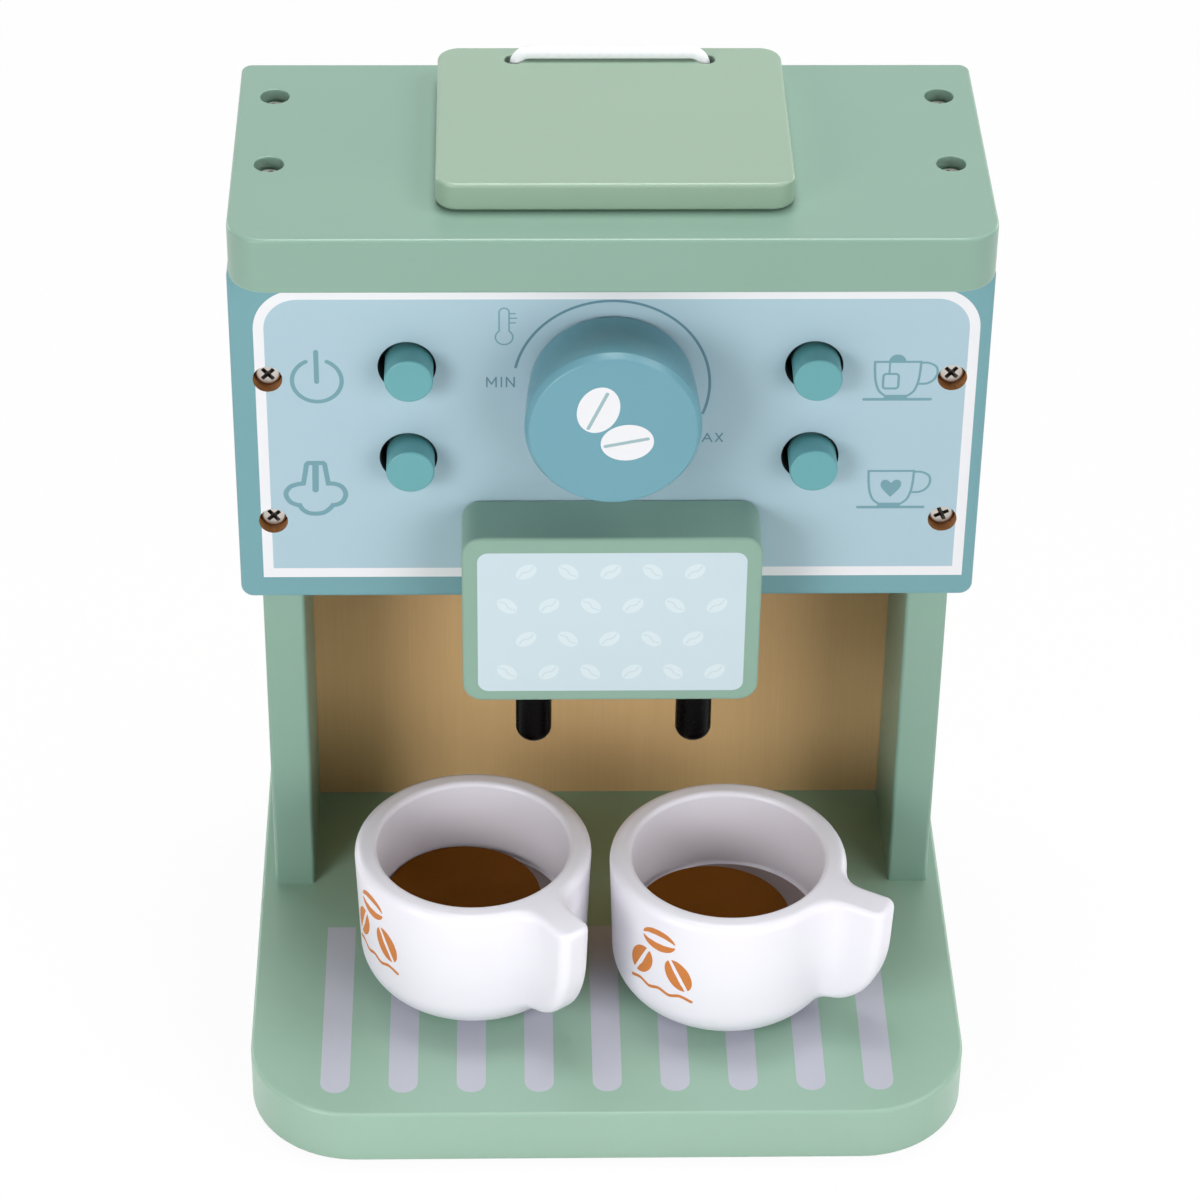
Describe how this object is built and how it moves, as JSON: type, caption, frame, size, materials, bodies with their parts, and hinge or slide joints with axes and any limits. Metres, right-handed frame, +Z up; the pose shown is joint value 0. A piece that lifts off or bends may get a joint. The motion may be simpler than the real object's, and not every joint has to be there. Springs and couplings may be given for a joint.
{
  "type": "toy coffee maker",
  "caption": "Wooden toy coffee maker: a case with a printed front panel, turning knob, push buttons and spout block, a lid on an elastic cord, and loose cups with painted coffee.",
  "frame": {"origin": "middle of the base board's underside, which is the middle of the bounding box's bottom", "axes": "+Z up, -Y out of the printed front panel towards the person who plays, +X to that person's right"},
  "size_m": [0.202, 0.169, 0.2635],
  "materials": {
    "sage_paint": "satin water-based paint on sanded MDF",
    "pale_paint": "satin water-based paint on sanded MDF",
    "teal_paint": "satin water-based paint on sanded MDF, with the printed scale and symbols",
    "button_paint": "satin paint on turned wood",
    "knob_paint": "satin paint on turned wood",
    "white_paint": "satin white paint on turned wood",
    "coffee_paint": "satin brown paint on a wooden disc",
    "black_paint": "gloss black paint on a wooden dowel",
    "bare_wood": "unpainted plywood and dowel, sanded",
    "elastic": "braided white elastic cord",
    "bright_steel": "bright plated steel"
  },
  "bodies": {
    "case": {"base_board": "pale_paint", "side_board_left": "sage_paint", "side_board_right": "sage_paint", "back_board": "bare_wood", "inner_shelf": "bare_wood", "top_board": "sage_paint", "front_panel": "teal_paint", "spout_block": "sage_paint", "nozzle_left": "black_paint", "nozzle_right": "black_paint", "spring_carrier_left": "bare_wood", "spring_carrier_right": "bare_wood", "spacer_inner_left": "bare_wood", "spacer_outer_left": "bare_wood", "spacer_inner_right": "bare_wood", "spacer_outer_right": "bare_wood", "button_spring_power": "bright_steel", "button_spring_steam": "bright_steel", "button_spring_tea": "bright_steel", "button_spring_coffee": "bright_steel", "top_screw_front_left": "bright_steel", "top_screw_back_left": "bright_steel", "top_screw_front_right": "bright_steel", "top_screw_back_right": "bright_steel", "base_screw_front_left": "bright_steel", "base_screw_back_left": "bright_steel", "base_screw_front_right": "bright_steel", "base_screw_back_right": "bright_steel", "front_screw_upper_left": "bright_steel", "front_screw_lower_left": "bright_steel", "front_screw_upper_right": "bright_steel", "front_screw_lower_right": "bright_steel", "block_screw_left": "bright_steel", "block_screw_right": "bright_steel"},
    "lid": {"lid_board": "pale_paint", "lid_cord": "elastic"},
    "knob_set": {"knob": "knob_paint", "knob_axle": "bare_wood", "knob_washer": "bright_steel", "knob_screw": "bright_steel"},
    "power_button": {"button_power": "button_paint"},
    "steam_button": {"button_steam": "button_paint"},
    "tea_button": {"button_tea": "button_paint"},
    "coffee_button": {"button_coffee": "button_paint"},
    "left_cup": {"cup_left": "white_paint", "coffee_disc_left": "coffee_paint"},
    "right_cup": {"cup_right": "white_paint", "coffee_disc_right": "coffee_paint"}
  },
  "joints": [
    {"name": "lid_hinge", "type": "hinge", "parent": "case", "child": "lid", "pos_m": [0.00065, 0.0791, 0.252], "axis": [-1, 0, 0], "range_deg": [0, 90], "deforming": ["lid_cord"]},
    {"name": "knob_turn", "type": "hinge", "parent": "case", "child": "knob_set", "pos_m": [0.0003, 0, 0.1987], "axis": [0, 1, 0], "continuous": true},
    {"name": "power_button_press", "type": "slide", "parent": "case", "child": "power_button", "axis": [0, 1, 0], "range_m": [0, 0.004], "stiffness_N_per_m": 200, "deforming": ["button_spring_power"]},
    {"name": "steam_button_press", "type": "slide", "parent": "case", "child": "steam_button", "axis": [0, 1, 0], "range_m": [0, 0.004], "stiffness_N_per_m": 200, "deforming": ["button_spring_steam"]},
    {"name": "tea_button_press", "type": "slide", "parent": "case", "child": "tea_button", "axis": [0, 1, 0], "range_m": [0, 0.004], "stiffness_N_per_m": 200, "deforming": ["button_spring_tea"]},
    {"name": "coffee_button_press", "type": "slide", "parent": "case", "child": "coffee_button", "axis": [0, 1, 0], "range_m": [0, 0.004], "stiffness_N_per_m": 200, "deforming": ["button_spring_coffee"]},
    {"name": "left_cup_lift", "type": "slide", "parent": "case", "child": "left_cup", "axis": [0, -0.94, 0.3412], "range_m": [0, 0.11]},
    {"name": "right_cup_lift", "type": "slide", "parent": "case", "child": "right_cup", "axis": [0, -0.94, 0.3412], "range_m": [0, 0.11]}
  ]
}
